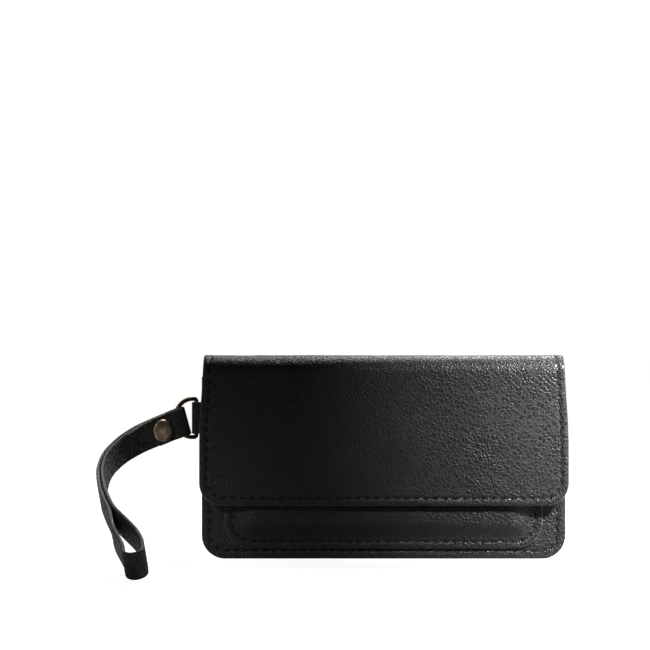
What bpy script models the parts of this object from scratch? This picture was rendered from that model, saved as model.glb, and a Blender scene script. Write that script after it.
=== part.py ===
"""A leather wristlet wallet: a gusseted pouch with a slip pocket on its front and a snapped flap.

The front faces -Y and the wallet stands on the lower edges of its panels at Z = 0. The origin is
the middle of the back panel's lower edge. Every leather piece is a separate sheet, and sheets
that touch keep a gap of 0.3 mm. All sizes are in metres.
"""

from math import atan2, cos, hypot, pi, radians, sin

import bmesh
import bpy
from mathutils import Matrix, Vector

GAP = 0.0003  # between pieces that touch

# The pouch
BODY_WIDTH = 0.188
BODY_CORNER = 0.012  # radius of the two lower corners
LEATHER = 0.0018  # back panel and flap
PANEL = 0.0016  # front panel and slip pocket
GUSSET = 0.0012
LINING = 0.0006
DIVIDER = 0.0008
CARD_LEATHER = 0.0008
POUCH_DEPTH = 0.0145  # between the back panel and the front panel
FRONT_HEIGHT = 0.094

# The flap, which is one sheet with the back panel, folded over the top
FLAP_WIDTH = 0.190
FLAP_CORNER = 0.0115
FLAP_BOTTOM = 0.028
FOLD_HEIGHT = 0.096  # height of both folds' centres
FOLD_RADIUS = 0.0081  # to the middle of the leather
FRONT_FOLD_Y = -0.0140
FLAP_LEAN = radians(2.6)  # the flap's face comes forward on its way down
FOLD_MIDDLE = radians(45)
FOLD_SPLIT = GAP / 2 / FOLD_RADIUS  # half the gap where the sheets part, as an angle

# The slip pocket
POCKET_WIDTH = 0.164
POCKET_BOTTOM = 0.0056
POCKET_TOP = 0.076
POCKET_CORNER = 0.0135
POCKET_SEAM = 0.005  # the flat band round the pocket that is sewn down
POCKET_BULGE = 0.0032

# The magnetic snap
SNAP_HEIGHT = 0.050
SNAP_RADIUS = 0.007
SOCKET_THICKNESS = 0.0012
SOCKET_HOLE = 0.0026
STUD_THICKNESS = 0.0008
STUD_NUB = 0.0019
NUB_DEPTH = 0.0013

# The D-ring and its tab
RING_WIRE = 0.0011
RING_HALF_HEIGHT = 0.0099  # to the middle of the wire
RING_LEG = 0.0024  # from the bar to the middle of the round side
RING_BAR_CORNER = 0.0014
BAR = Vector((-0.0970, -0.0107, 0.0725))
RING_SWIVEL = radians(30)  # how far the ring is turned forward of the wallet's side
TAB_HEIGHT = 0.0165
TAB_LEATHER = 0.0011
TAB_END_X = -0.0885

# The wrist strap: one strip, folded through the ring and riveted to its own other end
STRAP_WIDTH = 0.0148
STRAP = 0.0014  # where it is skived to fold through the ring
LOOP = 0.0020  # and its full thickness round the free loop
END_FLAP = 0.0012
TUCKED_END = 0.0010
LAYER_GAP = 0.00015
STRAP_DROOP = radians(17)  # how far the strap hangs below level in the ring's plane
STRAP_TILT = radians(25)  # how far the loop's width leans back from upright
STRAP_CANT = 0.12  # and sideways
FOLD_OVER_RING = 0.0022
FOLD_INSIDE_RING = 0.00595  # from the middle of the ring's round side to the fold's axis
SANDWICH_FROM = 0.0078
TUCKED_FROM = 0.0074
TWIST_END = 0.045  # the strap untwists over this length
LONG_TIP, SHORT_TIP = 0.0355, 0.0167  # the end flap's slanted cut
RIVET_AT = 0.0135
RIVET_RADIUS = 0.0057
RIVET_DOME = 0.0024
RIVET_POST = 0.0014
RIVET_HOLE = 0.0017
BIGHT_RADIUS = 0.0046
# The middle line between the strap's two strands, in the loop's own plane: across and forward.
MIDDLE_LINE = (
    (0.0, 0.0), (-0.0072, 0.0046), (-0.0150, 0.0102), (-0.0229, 0.01645), (-0.03015, 0.0253),
    (-0.0361, 0.0387), (-0.03785, 0.0537), (-0.03715, 0.0636), (-0.0352, 0.0759),
    (-0.03145, 0.0904), (-0.0273, 0.1029), (-0.0233, 0.1146), (-0.0194, 0.1248), (-0.0171, 0.1320),
    (-0.0164, 0.1356), (-0.0158, 0.1406),
)
# How far each strand lies from that line, at distances along it.
HALF_GAPS = (
    (0.050, 0.00085), (0.090, 0.00115), (0.110, 0.00118), (0.116, 0.0015), (0.122, 0.0024),
    (0.128, 0.0034), (0.134, 0.0042), (0.141, 0.0047), (0.149, 0.0048), (0.1571, BIGHT_RADIUS),
)

RING_OUT = Vector((-cos(RING_SWIVEL), -sin(RING_SWIVEL), 0.0))
RING_MIDDLE = BAR + RING_OUT * RING_LEG
UP = Vector((0.0, 0.0, 1.0))


def material(name, colour, roughness, metallic=0.0):
    made = bpy.data.materials.new(name)
    made.use_nodes = True
    shader = made.node_tree.nodes["Principled BSDF"]
    shader.inputs["Base Color"].default_value = (*colour, 1.0)
    shader.inputs["Roughness"].default_value = roughness
    shader.inputs["Metallic"].default_value = metallic
    return made


def add_object(name, mesh_data, finish, smooth=False):
    """Links a bmesh as a named object with its faces turned outward."""
    bmesh.ops.recalc_face_normals(mesh_data, faces=mesh_data.faces)
    mesh = bpy.data.meshes.new(name)
    mesh_data.to_mesh(mesh)
    mesh_data.free()
    if smooth:
        mesh.shade_smooth()
        mesh.set_sharp_from_angle(angle=radians(40))
    mesh.materials.append(finish)
    made = bpy.data.objects.new(name, mesh)
    bpy.context.scene.collection.objects.link(made)
    return made


def sheet(name, face, back, finish):
    """A closed sheet between two grids of points with the same rows and columns."""
    work = bmesh.new()
    front = [[work.verts.new(p) for p in row] for row in face]
    rear = [[work.verts.new(p) for p in row] for row in back]
    rows, columns = len(front), len(front[0])
    for r in range(rows - 1):
        for c in range(columns - 1):
            for grid in (front, rear):
                work.faces.new((grid[r][c], grid[r][c + 1], grid[r + 1][c + 1], grid[r + 1][c]))
        for c in (0, columns - 1):
            work.faces.new((front[r][c], front[r + 1][c], rear[r + 1][c], rear[r][c]))
    for r in (0, rows - 1):
        for c in range(columns - 1):
            work.faces.new((front[r][c], front[r][c + 1], rear[r][c + 1], rear[r][c]))
    return add_object(name, work, finish)


def turned(name, profile, finish, matrix, segments=32):
    """A solid of revolution. The profile's points are (radius, height) and start and end on the axis."""
    work = bmesh.new()
    rings = []
    for radius, height in profile:
        if radius == 0:
            rings.append([work.verts.new((0, 0, height))])
            continue
        angles = [2 * pi * k / segments for k in range(segments)]
        rings.append([work.verts.new((radius * cos(a), radius * sin(a), height)) for a in angles])
    for lower, upper in zip(rings, rings[1:]):
        for k in range(segments):
            n = (k + 1) % segments
            corners = [lower[k % len(lower)], lower[n % len(lower)]]
            corners += [upper[n % len(upper)], upper[k % len(upper)]]
            work.faces.new(list(dict.fromkeys(corners)))
    work.transform(matrix)
    return add_object(name, work, finish, smooth=True)


def washer(name, outer, hole, thickness, finish, matrix, segments=32):
    """A flat ring that starts at the matrix's origin and grows along its Z."""
    work = bmesh.new()
    corners = ((hole, 0), (outer, 0), (outer, thickness), (hole, thickness))
    loops = []
    for k in range(segments):
        a = 2 * pi * k / segments
        loops.append([work.verts.new((r * cos(a), r * sin(a), h)) for r, h in corners])
    for k in range(segments):
        here, there = loops[k], loops[(k + 1) % segments]
        for c in range(4):
            d = (c + 1) % 4
            work.faces.new((here[c], here[d], there[d], there[c]))
    work.transform(matrix)
    return add_object(name, work, finish, smooth=True)


def facing_front(y, lean=0.0):
    """A matrix at the snap's place whose own Z points forward, or leans down with the flap."""
    return Matrix.Translation((0, y, SNAP_HEIGHT)) @ Matrix.Rotation(pi / 2 + lean, 4, "X")


def rounded_rows(width, bottom, top, corner, steps=6):
    """(half width, height) from the lower edge up, round both lower corners."""
    rows = []
    for k in range(steps + 1):
        a = pi / 2 * k / steps
        rows.append((width / 2 - corner + corner * sin(a), bottom + corner * (1 - cos(a))))
    rows.append((width / 2, top))
    return rows


def flat_panel(name, rows, front_y, thickness, finish):
    face = [[(-w, front_y, z), (w, front_y, z)] for w, z in rows]
    back = [[(-w, front_y + thickness, z), (w, front_y + thickness, z)] for w, z in rows]
    return sheet(name, face, back, finish)


def fold_point(radius, angle):
    """A point of the folded flap's side view: 0 is the back fold's start, pi the front fold's end."""
    middle = -FOLD_RADIUS if angle <= pi / 2 else FRONT_FOLD_Y
    return middle + radius * cos(angle), FOLD_HEIGHT + radius * sin(angle)


def fold_rows(radius, start, end, steps=5):
    return [fold_point(radius, start + (end - start) * k / steps) for k in range(steps + 1)]


def back_panel(finish):
    """The back of the pouch, as far as the middle of the fold at its top."""
    rows = rounded_rows(BODY_WIDTH, 0, FOLD_HEIGHT, BODY_CORNER)
    outer = [(w, LEATHER / 2, z) for w, z in rows]
    inner = [(w, -LEATHER / 2, z) for w, z in rows]
    end = FOLD_MIDDLE - FOLD_SPLIT
    for k in range(1, 6):
        y, z = fold_point(FOLD_RADIUS + LEATHER / 2, end * k / 5)
        outer.append((FLAP_WIDTH / 2, y, z))
        y, z = fold_point(FOLD_RADIUS - LEATHER / 2, end * k / 5)
        inner.append((FLAP_WIDTH / 2, y, z))
    grids = [[[(-w, y, z), (w, y, z)] for w, y, z in side] for side in (inner, outer)]
    return sheet("back_panel", grids[0], grids[1], finish)


def top_sheet(name, half_width, outer_radius, thickness, finish):
    """The stretch of the flap over the top, between the middles of its two folds."""
    start, end = FOLD_MIDDLE + FOLD_SPLIT, pi - FOLD_MIDDLE - FOLD_SPLIT
    grids = []
    for radius in (outer_radius, outer_radius - thickness):
        path = fold_rows(radius, start, pi / 2)
        path += [(FRONT_FOLD_Y, FOLD_HEIGHT + radius)] + fold_rows(radius, pi / 2 + 0.001, end)[1:]
        grids.append([[(-half_width, y, z), (half_width, y, z)] for y, z in path])
    return sheet(name, grids[0], grids[1], finish)


def face_sheet(name, width, corner, bottom, outer_radius, thickness, finish):
    """The flap's face, from the middle of the front fold down to its round-cornered edge."""
    start, end = pi - FOLD_MIDDLE + FOLD_SPLIT, pi - FLAP_LEAN
    grids = []
    for radius in (outer_radius, outer_radius - thickness):
        rows = [(width / 2, y, z) for y, z in fold_rows(radius, start, end)]
        top_y, top_z = rows[-1][1:]
        for half, z in reversed(rounded_rows(width, bottom, top_z, corner)[:-1]):
            rows.append((half, top_y - (top_z - z) * sin(FLAP_LEAN) / cos(FLAP_LEAN), z))
        grids.append([[(-w, y, z), (w, y, z)] for w, y, z in rows])
    return sheet(name, grids[0], grids[1], finish)


def gusset(finish):
    """The strip round the sides and bottom. Its flanges turn outward and its web folds inward."""
    front = -LEATHER / 2 - GAP - POUCH_DEPTH + 2 * GAP
    back = -LEATHER / 2 - GAP
    middle = (front + back) / 2
    edge, root, apex = 0.0006, 0.0070, 0.0096
    profile = (
        (edge, front), (edge, front + GUSSET), (root, front + GUSSET), (apex, middle),
        (root, back - GUSSET), (edge, back - GUSSET), (edge, back), (root + GUSSET, back),
        (apex + GUSSET, middle), (root + GUSSET, front),
    )
    side, top = BODY_WIDTH / 2, FRONT_HEIGHT - 0.002
    route = [(Vector((-side, 0, top)), Vector((1, 0, 0)))]
    for k in range(9):
        a = pi / 2 * k / 8
        inward = Vector((cos(a), 0, sin(a)))
        route.append((Vector((-side + BODY_CORNER, 0, BODY_CORNER)) - inward * BODY_CORNER, inward))
    for k in range(8, -1, -1):
        a = pi / 2 * k / 8
        inward = Vector((-cos(a), 0, sin(a)))
        route.append((Vector((side - BODY_CORNER, 0, BODY_CORNER)) - inward * BODY_CORNER, inward))
    route.append((Vector((side, 0, top)), Vector((-1, 0, 0))))
    work = bmesh.new()
    loops = []
    for place, inward in route:
        loops.append([work.verts.new(place + inward * o + Vector((0, y, 0))) for o, y in profile])
    count = len(profile)
    for here, there in zip(loops, loops[1:]):
        for k in range(count):
            n = (k + 1) % count
            work.faces.new((here[k], here[n], there[n], there[k]))
    work.faces.new(loops[0])
    work.faces.new(loops[-1])
    return add_object("gusset", work, finish)


def smooth_step(value, start, end):
    t = min(1.0, max(0.0, (value - start) / (end - start)))
    return t * t * (3 - 2 * t)


def pocket_bulge(x, z):
    """How far the slip pocket stands off the panel: full near its bottom, pressed flat by the flap."""
    across = smooth_step(POCKET_WIDTH / 2 - abs(x), POCKET_SEAM, POCKET_SEAM + 0.012)
    rise = smooth_step(z - POCKET_BOTTOM, POCKET_SEAM, POCKET_SEAM + 0.008)
    fall = 1 - 0.94 * smooth_step(z, 0.022, 0.042)
    return POCKET_BULGE * across * rise * fall


def front_pocket(panel_face, finish):
    rows = rounded_rows(POCKET_WIDTH, POCKET_BOTTOM, POCKET_BOTTOM + POCKET_CORNER, POCKET_CORNER)[:-1]
    rows += [(POCKET_WIDTH / 2, z) for z in (0.023, 0.028, 0.034, 0.042, POCKET_TOP)]
    columns = [-1, -0.94, -0.90, -0.86, -0.80, -0.74, -0.4, 0, 0.4, 0.74, 0.80, 0.86, 0.90, 0.94, 1]
    face, back = [], []
    for w, z in rows:
        xs = [w * c for c in columns]
        ys = [panel_face - GAP - pocket_bulge(x, z) for x in xs]
        back.append([(x, y, z) for x, y in zip(xs, ys)])
        face.append([(x, y - PANEL, z) for x, y in zip(xs, ys)])
    return sheet("front_pocket", face, back, finish)


def tube_loop(name, points, radius, finish, matrix, sides=12):
    """A closed wire loop through flat points (x, z), swept with a round section."""
    work = bmesh.new()
    loops = []
    for k, (x, z) in enumerate(points):
        before, after = points[k - 1], points[(k + 1) % len(points)]
        along = Vector((after[0] - before[0], 0, after[1] - before[1])).normalized()
        out = Vector((along.z, 0, -along.x))
        loop = []
        for s in range(sides):
            a = 2 * pi * s / sides
            place = Vector((x, radius * sin(a), z)) + out * radius * cos(a)
            loop.append(work.verts.new(place))
        loops.append(loop)
    for k, here in enumerate(loops):
        there = loops[(k + 1) % len(loops)]
        for s in range(sides):
            n = (s + 1) % sides
            work.faces.new((here[s], here[n], there[n], there[s]))
    work.transform(matrix)
    return add_object(name, work, finish, smooth=True)


def ring_points():
    """The D-ring's wire, outward along +X from its straight bar at X = 0."""
    points = []
    for k in range(25):
        a = -pi / 2 + pi * k / 24
        points.append((RING_LEG + RING_HALF_HEIGHT * cos(a), RING_HALF_HEIGHT * sin(a)))
    inner = RING_HALF_HEIGHT - RING_BAR_CORNER
    for k in range(5):
        a = pi / 2 + pi / 2 * k / 4
        points.append((RING_BAR_CORNER * (1 + cos(a)), inner + RING_BAR_CORNER * sin(a)))
    for z in (0.004, -0.004):
        points.append((0.0, z))
    for k in range(5):
        a = pi + pi / 2 * k / 4
        points.append((RING_BAR_CORNER * (1 + cos(a)), -inner + RING_BAR_CORNER * sin(a)))
    return points


def ring_tab(finish):
    """A leather loop round the ring's bar, its two tails laid together behind the gusset's flange."""
    loop = RING_WIRE + GAP / 1.5 + TAB_LEATHER / 2
    front_y = BAR.y - loop
    back_y = front_y + TAB_LEATHER + 0.0002
    path = [(TAB_END_X, front_y)]
    for k in range(13):
        a = -pi / 2 - pi * k / 12
        path.append((BAR.x + loop * cos(a), BAR.y + loop * sin(a)))
    path += [(BAR.x + 0.0012, BAR.y + loop * 0.86), (BAR.x + 0.0030, back_y + 0.0010),
             (BAR.x + 0.0042, back_y + 0.0002), (BAR.x + 0.0052, back_y), (TAB_END_X, back_y)]
    face, back = [], []
    for k, (x, y) in enumerate(path):
        before, after = path[max(k - 1, 0)], path[min(k + 1, len(path) - 1)]
        run = hypot(after[0] - before[0], after[1] - before[1])
        nx, ny = (after[1] - before[1]) / run, -(after[0] - before[0]) / run
        for grid, side in ((face, TAB_LEATHER / 2), (back, -TAB_LEATHER / 2)):
            heights = (BAR.z - TAB_HEIGHT / 2, BAR.z + TAB_HEIGHT / 2)
            grid.append([(x + nx * side, y + ny * side, z) for z in heights])
    return sheet("ring_tab", face, back, finish)


def through(knots, spacing):
    """Evenly spaced points on a smooth curve through all the knots."""
    dense = []
    padded = [knots[0] * 2 - knots[1], *knots, knots[-1] * 2 - knots[-2]]
    for a, b, c, d in zip(padded, padded[1:], padded[2:], padded[3:]):
        for k in range(12):
            t = k / 12
            dense.append(0.5 * (2 * b + (c - a) * t + (2 * a - 5 * b + 4 * c - d) * t * t
                                + (3 * b - a - 3 * c + d) * t ** 3))
    dense.append(knots[-1])
    lengths = [0.0]
    for a, b in zip(dense, dense[1:]):
        lengths.append(lengths[-1] + (b - a).length)
    count = round(lengths[-1] / spacing)
    points, k = [], 0
    for n in range(count + 1):
        want = lengths[-1] * n / count
        while k < len(lengths) - 2 and lengths[k + 1] < want:
            k += 1
        share = (want - lengths[k]) / (lengths[k + 1] - lengths[k])
        points.append(dense[k].lerp(dense[k + 1], share))
    return points, lengths[-1] / count


def between(pairs, at):
    """The value at a distance along the strap, eased from one (distance, value) pair to the next."""
    if at <= pairs[0][0]:
        return pairs[0][1]
    for (start, low), (end, high) in zip(pairs, pairs[1:]):
        if at <= end:
            return low + (high - low) * (at - start) / (end - start)
    return pairs[-1][1]


def strap_frames():
    """Frames along the strap's middle line: distance, place, direction, width and facing vectors."""
    loop_width = Vector((STRAP_CANT, sin(STRAP_TILT), -cos(STRAP_TILT))).normalized()
    across = Vector((1, 0, 0)) - loop_width * loop_width.x
    across.normalize()
    forward = loop_width.cross(across)
    ring_width = -UP * cos(STRAP_DROOP) - RING_OUT * sin(STRAP_DROOP)
    outward = RING_OUT * cos(STRAP_DROOP) - UP * sin(STRAP_DROOP)
    start = RING_MIDDLE + outward * FOLD_INSIDE_RING
    places, step = through([start + across * u + forward * v for u, v in MIDDLE_LINE], 0.0022)
    frames = []
    for k, place in enumerate(places):
        along = (places[min(k + 1, len(places) - 1)] - places[max(k - 1, 0)]).normalized()
        far = smooth_step(k * step, 0.006, TWIST_END)
        if k * step < 0.006:
            along = outward
        width = ring_width.lerp(loop_width, far)
        width = (width - along * width.dot(along)).normalized()
        frames.append((k * step, place, along, width, along.cross(width)))
    return frames


def layer_offsets(at):
    """Where the outer strand, the tucked end and the end flap lie beside the middle line."""
    squeeze = smooth_step(at, 0.0050, SANDWICH_FROM)
    part = smooth_step(at, 0.018, 0.034)
    pinned_outer = -(TUCKED_END / 2 + LAYER_GAP + STRAP / 2)
    free = STRAP / 2 + LAYER_GAP
    outer = -FOLD_OVER_RING + (pinned_outer + FOLD_OVER_RING) * squeeze
    outer += (-free - pinned_outer) * part
    inner = free * part
    flap = FOLD_OVER_RING + (TUCKED_END / 2 + LAYER_GAP + END_FLAP / 2 - FOLD_OVER_RING) * squeeze
    flap += (free + STRAP / 2 - TUCKED_END / 2) * part
    if at > 0.050:
        inner = between(HALF_GAPS, at)
        outer = -inner
    return outer, inner, flap


def loop_thickness(at):
    return STRAP + (LOOP - STRAP) * smooth_step(at, 0.050, 0.090)


def strap_stations():
    """(centre, facing, width, thickness, low side, high side) from the tip round to the tucked end."""
    frames = strap_frames()
    half = STRAP_WIDTH / 2
    stations = []
    for at, place, along, width, facing in reversed([f for f in frames if 0.001 < f[0] < LONG_TIP]):
        cut = (LONG_TIP - at) / (LONG_TIP - SHORT_TIP)
        high = -half + STRAP_WIDTH * min(1.0, max(cut, 0.04))
        thickness = END_FLAP + (STRAP - END_FLAP) * (1 - smooth_step(at, 0.0, 0.006))
        stations.append((place + facing * layer_offsets(at)[2], facing, width, thickness, -half, high))
    at, place, along, width, facing = frames[0]
    for k in range(9):
        a = pi * k / 8
        turn = facing * cos(a) - along * sin(a)
        stations.append((place + turn * FOLD_OVER_RING, turn, width, STRAP, -half, half))
    for at, place, along, width, facing in frames[1:]:
        outer = place + facing * layer_offsets(at)[0]
        stations.append((outer, -facing, width, loop_thickness(at), -half, half))
    at, place, along, width, facing = frames[-1]
    for k in range(1, 12):
        a = pi * k / 12
        turn = -facing * cos(a) + along * sin(a)
        stations.append((place + turn * BIGHT_RADIUS, turn, width, LOOP, -half, half))
    for at, place, along, width, facing in reversed([f for f in frames if f[0] > TUCKED_FROM]):
        thickness = loop_thickness(at) + (TUCKED_END - STRAP) * (1 - smooth_step(at, 0.018, 0.034))
        stations.append((place + facing * layer_offsets(at)[1], facing, width, thickness, -half, half))
    return stations


def rivet_matrix():
    """The rivet's own Z points out of the end flap, and its origin is on the strap's middle line."""
    frames = strap_frames()
    k = min(range(len(frames)), key=lambda n: abs(frames[n][0] - RIVET_AT))
    at, place, along, width, facing = frames[k]
    return Matrix.Translation(place) @ facing.to_track_quat("Z", "Y").to_matrix().to_4x4()


def wrist_strap(finish):
    face, back = [], []
    for centre, facing, width, thickness, low, high in strap_stations():
        for grid, side in ((face, thickness / 2), (back, -thickness / 2)):
            grid.append([centre + facing * side + width * low, centre + facing * side + width * high])
    made = sheet("wrist_strap", face, back, finish)
    cutter = turned(
        "rivet_hole_cutter",
        ((0, -0.006), (RIVET_HOLE, -0.006), (RIVET_HOLE, 0.006), (0, 0.006)),
        finish, rivet_matrix(), segments=16,
    )
    cutter.hide_render = True
    cutter.display_type = "WIRE"
    cut = made.modifiers.new("rivet_hole", "BOOLEAN")
    cut.object = cutter
    cut.operation = "DIFFERENCE"
    cut.solver = "EXACT"
    return made


def rivet(finish):
    """A two-part rivet: a domed cap on the end flap, pressed on a post with a domed foot behind."""
    front = TUCKED_END / 2 + LAYER_GAP + END_FLAP + GAP
    rear = -(TUCKED_END / 2 + LAYER_GAP + STRAP + GAP)
    bore, seat = RIVET_POST + GAP, front + RIVET_DOME * 0.6
    cap = [(0, seat), (bore, seat), (bore, front)]
    cap += [(RIVET_RADIUS * 0.97, front), (RIVET_RADIUS, front + 0.0005)]
    for k in range(1, 7):
        a = pi / 2 * k / 6
        cap.append((RIVET_RADIUS * cos(a), front + 0.0005 + (RIVET_DOME - 0.0005) * sin(a)))
    cap[-1] = (0, cap[-1][1])
    turned("rivet_cap", cap, finish, rivet_matrix())
    post = [(0, seat - GAP), (RIVET_POST, seat - GAP), (RIVET_POST, rear), (RIVET_RADIUS, rear)]
    for k in range(1, 7):
        a = pi / 2 * k / 6
        post.append((RIVET_RADIUS * cos(a), rear - 0.0005 - 0.0013 * sin(a)))
    post[-1] = (0, post[-1][1])
    turned("rivet_post", post, finish, rivet_matrix())


def snap(panel_face, finish):
    """The magnetic snap: a socket on the slip pocket and a stud on the flap's lining."""
    pocket_back = panel_face - GAP - pocket_bulge(0, SNAP_HEIGHT)
    pocket_face = pocket_back - PANEL
    washer("snap_socket", SNAP_RADIUS, SOCKET_HOLE, SOCKET_THICKNESS, finish,
           facing_front(pocket_face - GAP))
    lining_radius = FOLD_RADIUS - LEATHER / 2 - GAP - LINING
    flap_y = FRONT_FOLD_Y - lining_radius - (FOLD_HEIGHT - SNAP_HEIGHT) * sin(FLAP_LEAN) / cos(FLAP_LEAN)
    stud_back = flap_y + GAP + STUD_THICKNESS
    stud_profile = (
        (0, -NUB_DEPTH), (STUD_NUB, -NUB_DEPTH), (STUD_NUB, 0), (SNAP_RADIUS, 0),
        (SNAP_RADIUS, STUD_THICKNESS), (0, STUD_THICKNESS),
    )
    turned("snap_stud", stud_profile, finish, facing_front(stud_back, -FLAP_LEAN))


def clear_scene():
    for thing in list(bpy.data.objects):
        bpy.data.objects.remove(thing)


def build():
    clear_scene()
    leather = material("black_leather", (0.018, 0.018, 0.019), 0.48)
    raw_side = material("flesh_side_leather", (0.06, 0.055, 0.05), 0.85)
    lining = material("lining_cloth", (0.05, 0.05, 0.055), 0.9)
    brass = material("antique_brass", (0.28, 0.20, 0.11), 0.38, 1.0)
    steel = material("nickelled_steel", (0.55, 0.55, 0.56), 0.3, 1.0)

    panel_back = -LEATHER / 2 - POUCH_DEPTH
    panel_face = panel_back - PANEL
    back_panel(leather)
    rows = rounded_rows(BODY_WIDTH, 0, FRONT_HEIGHT, BODY_CORNER)
    flat_panel("front_panel", rows, panel_face, PANEL, leather)
    gusset(leather)

    inset = 0.0086  # the linings end just inside the gusset's flanges
    rows = rounded_rows(BODY_WIDTH - 2 * inset, inset, FRONT_HEIGHT - 0.002, BODY_CORNER - inset)
    flat_panel("front_lining", rows, panel_back + GAP, LINING, lining)
    flat_panel("back_lining", rows, -LEATHER / 2 - GAP - LINING, LINING, lining)

    card_face = -LEATHER / 2 - GAP - LINING
    for name, low, high in (("card_tier_top", 0.040, 0.088), ("card_tier_middle", 0.027, 0.076),
                            ("card_tier_bottom", 0.013, 0.064)):
        card_face -= GAP + CARD_LEATHER
        flat_panel(name, [(0.0815, low), (0.0815, high)], card_face, CARD_LEATHER, raw_side)

    divider_face = (card_face + panel_back + GAP + LINING) / 2 - DIVIDER / 2
    flat_panel("divider", [(0.0820, 0.0125), (0.0820, 0.086)], divider_face, DIVIDER, raw_side)

    front_pocket(panel_face, leather)
    snap(panel_face, steel)

    outer = FOLD_RADIUS + LEATHER / 2
    inner = FOLD_RADIUS - LEATHER / 2 - GAP
    top_sheet("flap_top", FLAP_WIDTH / 2, outer, LEATHER, leather)
    top_sheet("flap_top_lining", FLAP_WIDTH / 2 - 0.002, inner, LINING, lining)
    face_sheet("flap_face", FLAP_WIDTH, FLAP_CORNER, FLAP_BOTTOM, outer, LEATHER, leather)
    hem = 0.002  # how far the lining stops short of the flap's edge
    face_sheet("flap_face_lining", FLAP_WIDTH - 2 * hem, FLAP_CORNER - hem, FLAP_BOTTOM + hem, inner,
               LINING, lining)

    ring_tab(leather)
    turn = Matrix.Translation(BAR) @ Matrix.Rotation(atan2(RING_OUT.y, RING_OUT.x), 4, "Z")
    tube_loop("d_ring", ring_points(), RING_WIRE, brass, turn)
    wrist_strap(leather)
    rivet(brass)


build()
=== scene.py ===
from math import ceil, cos, exp, hypot, pi, radians, sin, sqrt

import bmesh
import bpy
from mathutils import Matrix, Vector, noise


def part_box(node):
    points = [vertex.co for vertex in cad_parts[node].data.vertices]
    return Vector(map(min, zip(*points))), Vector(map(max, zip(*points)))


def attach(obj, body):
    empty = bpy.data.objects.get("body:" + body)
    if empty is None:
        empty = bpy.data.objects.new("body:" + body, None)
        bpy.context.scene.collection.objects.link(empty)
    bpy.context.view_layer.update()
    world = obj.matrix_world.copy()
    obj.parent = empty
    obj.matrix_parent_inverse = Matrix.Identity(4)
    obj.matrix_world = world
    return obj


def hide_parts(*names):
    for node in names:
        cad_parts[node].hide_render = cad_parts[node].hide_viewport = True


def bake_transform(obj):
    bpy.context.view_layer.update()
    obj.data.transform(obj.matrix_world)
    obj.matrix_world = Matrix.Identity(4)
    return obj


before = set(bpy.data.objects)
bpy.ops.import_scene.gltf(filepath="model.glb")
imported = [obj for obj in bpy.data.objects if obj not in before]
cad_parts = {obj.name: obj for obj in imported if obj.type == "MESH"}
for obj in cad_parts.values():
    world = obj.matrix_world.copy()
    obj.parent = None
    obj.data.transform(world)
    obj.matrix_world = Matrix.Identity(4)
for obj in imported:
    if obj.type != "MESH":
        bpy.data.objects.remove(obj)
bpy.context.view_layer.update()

# ---------------------------------------------------------------------------------------------
# The table and the light.
# A pale table under a white sweep. A small lamp high on the right grazes the leather, a broad one
# overhead and behind picks out the top fold, and a very weak one on the left reaches the strap. The
# sweep looks white but lights the leather only dimly.
TABLE_SIZE = 14.0

eye = bpy.data.objects.new("eye", bpy.data.cameras.new("eye"))
eye.data.lens = 148.3
eye.data.sensor_width = 36.0
eye.location = (-0.0303, -1.400, 0.1207)
eye.rotation_euler = (pi / 2, 0, 0)
bpy.context.scene.collection.objects.link(eye)
bpy.context.scene.camera = eye


def lamp(name, place, aim, width, power, colour, spread=180):
    light = bpy.data.lights.new(name, "AREA")
    light.shape = "SQUARE"
    light.size = width
    light.energy = power
    light.color = colour
    light.spread = radians(spread)
    holder = bpy.data.objects.new(name, light)
    holder.location = place
    holder.rotation_euler = (Vector(aim) - Vector(place)).to_track_quat("-Z", "Y").to_euler()
    bpy.context.scene.collection.objects.link(holder)


lamp("high_right_lamp", (0.42, -0.48, 0.50), (0.215, 0, 0.14), 0.09, 2.15, (1.0, 0.985, 0.96), spread=32)
lamp("low_left_lamp", (-0.62, -0.80, 0.52), (-0.185, -0.10, 0.055), 0.08, 0.03, (1.0, 0.975, 0.94), spread=10)
lamp("overhead_lamp", (0.20, 0.50, 0.84), (0.02, 0, 0.10), 0.40, 10, (1.0, 1.0, 1.0))
bpy.context.scene.view_settings.view_transform = "Standard"

room = bpy.data.worlds.new("room")
room.use_nodes = True
bpy.context.scene.world = room
nodes, links = room.node_tree.nodes, room.node_tree.links
way = nodes.new("ShaderNodeTexCoord")
apart = nodes.new("ShaderNodeSeparateXYZ")
reach = nodes.new("ShaderNodeMapRange")
reach.inputs["From Min"].default_value = -0.15
reach.inputs["From Max"].default_value = 0.75
reach.inputs["To Min"].default_value = 0.015
reach.inputs["To Max"].default_value = 0.45
seen = nodes.new("ShaderNodeLightPath")
brightness = nodes.new("ShaderNodeMix")
brightness.inputs[3].default_value = 1.05
links.new(way.outputs["Generated"], apart.inputs[0])
links.new(apart.outputs["Y"], reach.inputs["Value"])
links.new(seen.outputs["Is Camera Ray"], brightness.inputs[0])
links.new(reach.outputs[0], brightness.inputs[2])
links.new(brightness.outputs[0], nodes["Background"].inputs["Strength"])
nodes["Background"].inputs["Color"].default_value = (1.0, 1.0, 1.0, 1.0)

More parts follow.
